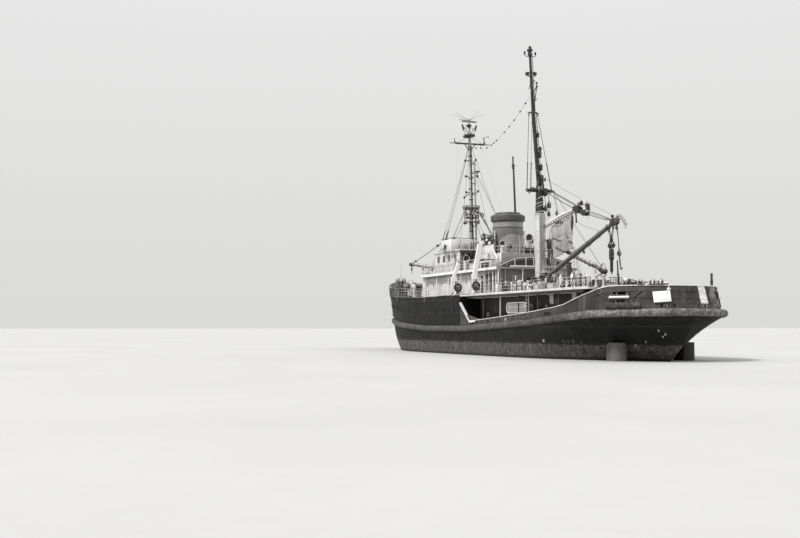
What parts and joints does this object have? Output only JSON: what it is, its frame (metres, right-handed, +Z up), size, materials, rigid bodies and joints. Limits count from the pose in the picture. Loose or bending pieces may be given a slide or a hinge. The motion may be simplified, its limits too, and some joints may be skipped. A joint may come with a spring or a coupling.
{
  "type": "salvage ship with derrick booms, 1:2 scale model",
  "caption": "Decked work ship with a rounded stern, tall mast with swinging derrick booms, funnel, bridge, davits, twin screws and rudders, as a half-size model.",
  "frame": {"origin": "amidships, on the centreline, at the waterline the ship floats at", "axes": "+Y to the bow, +X to starboard, +Z up"},
  "size_m": [6.85, 32.6793, 16.91],
  "materials": {
    "hull_paint": "weathered matt black with rust streaks",
    "boot_paint": "chalky faded bottom paint",
    "bottom_paint": "matt anti-fouling",
    "screw_bronze": "dull cast bronze",
    "rail_paint": "worn to grey with rust",
    "deck_paint": "non-slip, dirty",
    "dark_paint": "matt dark, rusty",
    "grey_paint": "matt grey, chipped",
    "white_paint": "weathered white with rust runs",
    "funnel_paint": "matt mid grey, streaked",
    "mast_paint": "weathered light grey and black",
    "boom_paint": "matt dark grey, worn light on top"
  },
  "bodies": {
    "ship": {"hull": "hull_paint", "forward_hull": "hull_paint", "skeg": "bottom_paint", "rudder_horn_port": "boot_paint", "rudder_horn_starboard": "boot_paint", "shaft_port": "bottom_paint", "shaft_starboard": "bottom_paint", "bilge_keel_port": "bottom_paint", "bilge_keel_starboard": "bottom_paint", "rub_rail": "rail_paint", "side_bulwark_port": "hull_paint", "side_bulwark_starboard": "hull_paint", "stern_bulwark": "hull_paint", "upper_deck": "deck_paint", "main_deck_house": "dark_paint", "stanchions_port": "white_paint", "stanchions_starboard": "white_paint", "upper_house": "white_paint", "bridge_deck": "deck_paint", "wheelhouse": "white_paint", "open_bridge_deck": "deck_paint", "open_bridge_bulwark": "white_paint", "funnel_casing": "white_paint", "funnel": "funnel_paint", "mainmast": "mast_paint", "foremast": "white_paint", "kingpost": "mast_paint", "aerial_pole": "dark_paint", "boom_crutch": "white_paint", "cargo_winch_port": "dark_paint", "cargo_winch_starboard": "dark_paint", "windlass": "dark_paint", "capstan": "dark_paint", "hose_reel": "white_paint", "hatch_coaming": "grey_paint", "bow_bulwark": "hull_paint", "sign_board": "white_paint", "stern_pole": "white_paint"},
    "port_rudder": {"rudder_port": "bottom_paint"},
    "starboard_rudder": {"rudder_starboard": "bottom_paint"},
    "port_screw": {"propeller_port": "screw_bronze"},
    "starboard_screw": {"propeller_starboard": "screw_bronze"},
    "stern_door_port_leaf": {"stern_door_port": "grey_paint"},
    "stern_door_starboard_leaf": {"stern_door_starboard": "grey_paint"},
    "upper_door_port_leaf": {"upper_door_port": "grey_paint"},
    "upper_door_starboard_leaf": {"upper_door_starboard": "grey_paint"},
    "wheelhouse_door_port_leaf": {"wheelhouse_door_port": "grey_paint"},
    "wheelhouse_door_starboard_leaf": {"wheelhouse_door_starboard": "grey_paint"},
    "hatch_lid": {"hatch_cover": "grey_paint"},
    "main_derrick_swivel": {"main_boom_swivel": "dark_paint"},
    "main_derrick": {"main_boom": "boom_paint"},
    "main_tackle": {"main_hook": "dark_paint"},
    "side_derrick_swivel": {"side_boom_swivel": "dark_paint"},
    "side_derrick": {"side_boom": "boom_paint"},
    "fore_derrick_swivel": {"fore_boom_swivel": "dark_paint"},
    "fore_derrick": {"fore_boom": "boom_paint"},
    "fore_port_davit": {"davit_fore_port": "white_paint"},
    "fore_starboard_davit": {"davit_fore_starboard": "white_paint"},
    "aft_port_davit": {"davit_aft_port": "white_paint"},
    "aft_starboard_davit": {"davit_aft_starboard": "white_paint"}
  },
  "joints": [
    {"name": "rudder_port_turn", "type": "hinge", "parent": "ship", "child": "port_rudder", "pos_m": [-1.5775, -13.325, -0.8], "axis": [0, 0, 1], "range_deg": [-35, 35]},
    {"name": "rudder_starboard_turn", "type": "hinge", "parent": "ship", "child": "starboard_rudder", "pos_m": [1.5775, -13.325, -0.8], "axis": [0, 0, 1], "range_deg": [-35, 35]},
    {"name": "screw_port_spin", "type": "hinge", "parent": "ship", "child": "port_screw", "pos_m": [-1.5775, -12.55, -0.975], "axis": [0, 1, 0], "continuous": true},
    {"name": "screw_starboard_spin", "type": "hinge", "parent": "ship", "child": "starboard_screw", "pos_m": [1.5775, -12.55, -0.975], "axis": [0, 1, 0], "continuous": true},
    {"name": "stern_door_port_swing", "type": "hinge", "parent": "ship", "child": "stern_door_port_leaf", "pos_m": [-1.4875, -12.6, 2.03], "axis": [0, 0, -1], "range_deg": [0, 105]},
    {"name": "stern_door_starboard_swing", "type": "hinge", "parent": "ship", "child": "stern_door_starboard_leaf", "pos_m": [1.1125, -12.6, 2.03], "axis": [0, 0, -1], "range_deg": [0, 105]},
    {"name": "upper_door_port_swing", "type": "hinge", "parent": "ship", "child": "upper_door_port_leaf", "pos_m": [-1.1875, -3.3, 3.06], "axis": [0, 0, -1], "range_deg": [0, 105]},
    {"name": "upper_door_starboard_swing", "type": "hinge", "parent": "ship", "child": "upper_door_starboard_leaf", "pos_m": [0.8125, -3.3, 3.06], "axis": [0, 0, -1], "range_deg": [0, 105]},
    {"name": "wheelhouse_door_port_swing", "type": "hinge", "parent": "ship", "child": "wheelhouse_door_port_leaf", "pos_m": [-1.675, 2.9875, 4.385], "axis": [0, 0, -1], "range_deg": [0, 105]},
    {"name": "wheelhouse_door_starboard_swing", "type": "hinge", "parent": "ship", "child": "wheelhouse_door_starboard_leaf", "pos_m": [1.675, 2.6125, 4.385], "axis": [0, 0, -1], "range_deg": [0, 105]},
    {"name": "main_slew", "type": "hinge", "parent": "ship", "child": "main_derrick_swivel", "pos_m": [0, -4.425, 3.775], "axis": [0, 0, -1], "range_deg": [-6, 60]},
    {"name": "main_luff", "type": "hinge", "parent": "main_derrick_swivel", "child": "main_derrick", "pos_m": [0, -4.575, 3.775], "axis": [-1, 0, 0], "range_deg": [-2, 40]},
    {"name": "main_hang", "type": "hinge", "parent": "main_derrick", "child": "main_tackle", "pos_m": [0, -10.54594, 5.78444], "axis": [-1, 0, 0], "range_deg": [-40, 2]},
    {"name": "side_slew", "type": "hinge", "parent": "ship", "child": "side_derrick_swivel", "pos_m": [0.75, -3.925, 5.32], "axis": [0, 0, 1], "range_deg": [0, 60]},
    {"name": "side_luff", "type": "hinge", "parent": "side_derrick_swivel", "child": "side_derrick", "pos_m": [0.75, -4.075, 5.32], "axis": [-1, 0, 0], "range_deg": [0, 50]},
    {"name": "fore_slew", "type": "hinge", "parent": "ship", "child": "fore_derrick_swivel", "pos_m": [0, 8.65, 4.8], "axis": [0, 0, 1], "range_deg": [-45, 45]},
    {"name": "fore_luff", "type": "hinge", "parent": "fore_derrick_swivel", "child": "fore_derrick", "pos_m": [0, 8.8, 4.8], "axis": [1, 0, 0], "range_deg": [-3, 50]},
    {"name": "davit_fore_port_swing", "type": "hinge", "parent": "ship", "child": "fore_port_davit", "pos_m": [-2.875, 0.025, 3.13], "axis": [0, -1, 0], "range_deg": [0, 50]},
    {"name": "davit_fore_starboard_swing", "type": "hinge", "parent": "ship", "child": "fore_starboard_davit", "pos_m": [2.875, 0.025, 3.13], "axis": [0, 1, 0], "range_deg": [0, 50]},
    {"name": "davit_aft_port_swing", "type": "hinge", "parent": "ship", "child": "aft_port_davit", "pos_m": [-2.875, -2.575, 3.13], "axis": [0, -1, 0], "range_deg": [0, 50]},
    {"name": "davit_aft_starboard_swing", "type": "hinge", "parent": "ship", "child": "aft_starboard_davit", "pos_m": [2.875, -2.575, 3.13], "axis": [0, 1, 0], "range_deg": [0, 50]},
    {"name": "hatch_lid_lift", "type": "hinge", "parent": "ship", "child": "hatch_lid", "pos_m": [0.455, 10.4, 3.59854], "axis": [0, 1, 0], "range_deg": [0, 105]}
  ],
  "couplings": [
    {"joint": "rudder_starboard_turn", "follows": "rudder_port_turn", "ratio": 1},
    {"joint": "main_hang", "follows": "main_luff", "ratio": -1}
  ]
}
